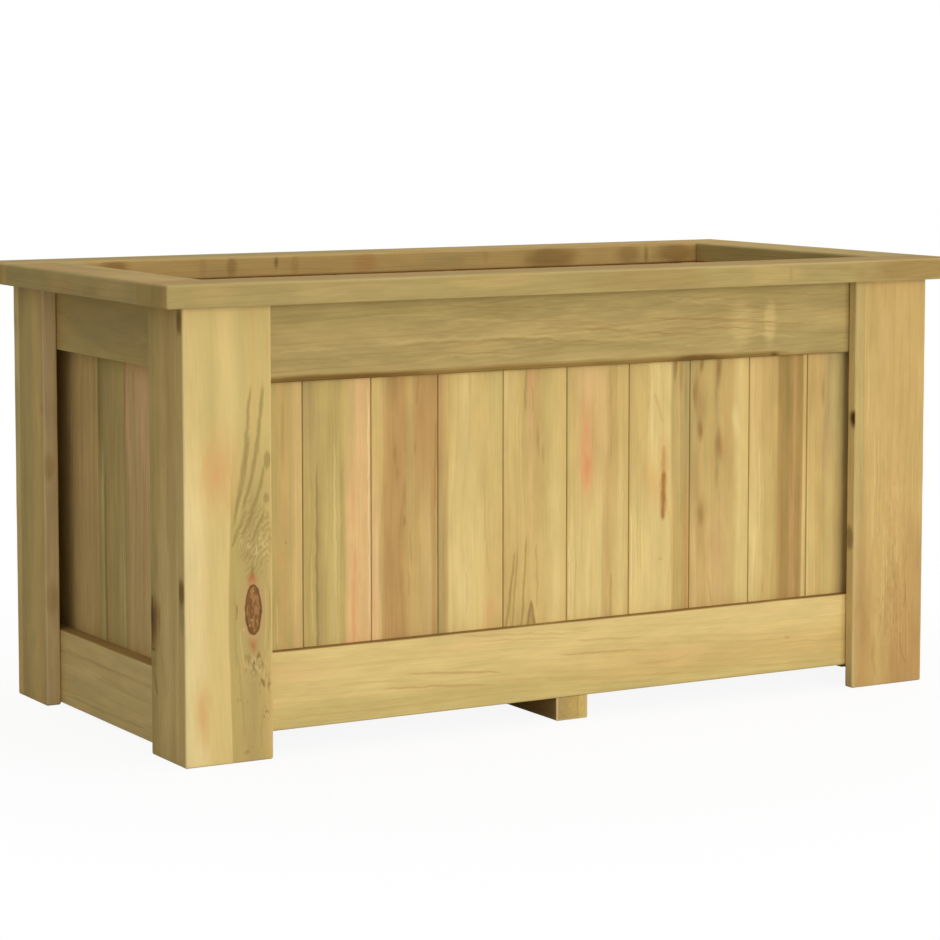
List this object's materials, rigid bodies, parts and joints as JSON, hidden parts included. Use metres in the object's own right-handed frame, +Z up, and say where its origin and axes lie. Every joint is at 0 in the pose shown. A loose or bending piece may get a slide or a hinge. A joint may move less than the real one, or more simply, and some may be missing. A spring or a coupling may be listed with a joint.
{
  "type": "raised planter",
  "caption": "Rectangular wooden raised planter: vertical board walls between rails, L-shaped board legs, a flat overhanging rim and a slatted floor, for holding soil and plants.",
  "frame": {"origin": "on the floor, under the centre of the planter", "axes": "+Z up, +X along the long side, the front faces -Y"},
  "size_m": [1, 0.504, 0.496],
  "materials": {
    "rim_timber": "planed, impregnated softwood, matt",
    "leg_timber": "planed, impregnated softwood, matt",
    "post_timber": "planed, impregnated softwood, matt",
    "rail_timber": "planed, impregnated softwood, matt",
    "slat_timber": "planed, impregnated softwood, matt",
    "floor_timber": "sawn and planed, impregnated softwood, matt",
    "dowel_timber": "turned hardwood, plain",
    "screw_steel": "yellow-passivated steel, satin"
  },
  "bodies": {
    "root": {"centre_bearer": "floor_timber", "floor_boards": "floor_timber", "floor_ledger_left": "floor_timber", "floor_ledger_right": "floor_timber", "floor_screws": "screw_steel", "frame_screws": "screw_steel", "leg_back_left_face": "leg_timber", "leg_back_left_side": "leg_timber", "leg_back_right_face": "leg_timber", "leg_back_right_side": "leg_timber", "leg_front_left_face": "leg_timber", "leg_front_left_side": "leg_timber", "leg_front_right_face": "leg_timber", "leg_front_right_side": "leg_timber", "post_back_left": "post_timber", "post_back_right": "post_timber", "post_front_left": "post_timber", "post_front_right": "post_timber", "rail_back_bottom": "rail_timber", "rail_back_top": "rail_timber", "rail_front_bottom": "rail_timber", "rail_front_top": "rail_timber", "rail_left_bottom": "rail_timber", "rail_left_top": "rail_timber", "rail_right_bottom": "rail_timber", "rail_right_top": "rail_timber", "rim_back_board": "rim_timber", "rim_dowels": "dowel_timber", "rim_front_board": "rim_timber", "rim_left_board": "rim_timber", "rim_right_board": "rim_timber", "slat_back_01": "slat_timber", "slat_back_02": "slat_timber", "slat_back_03": "slat_timber", "slat_back_04": "slat_timber", "slat_back_05": "slat_timber", "slat_back_06": "slat_timber", "slat_back_07": "slat_timber", "slat_back_08": "slat_timber", "slat_back_09": "slat_timber", "slat_back_10": "slat_timber", "slat_front_01": "slat_timber", "slat_front_02": "slat_timber", "slat_front_03": "slat_timber", "slat_front_04": "slat_timber", "slat_front_05": "slat_timber", "slat_front_06": "slat_timber", "slat_front_07": "slat_timber", "slat_front_08": "slat_timber", "slat_front_09": "slat_timber", "slat_front_10": "slat_timber", "slat_left_01": "slat_timber", "slat_left_02": "slat_timber", "slat_left_03": "slat_timber", "slat_left_04": "slat_timber", "slat_right_01": "slat_timber", "slat_right_02": "slat_timber", "slat_right_03": "slat_timber", "slat_right_04": "slat_timber", "slat_screws": "screw_steel"}
  },
  "joints": []
}
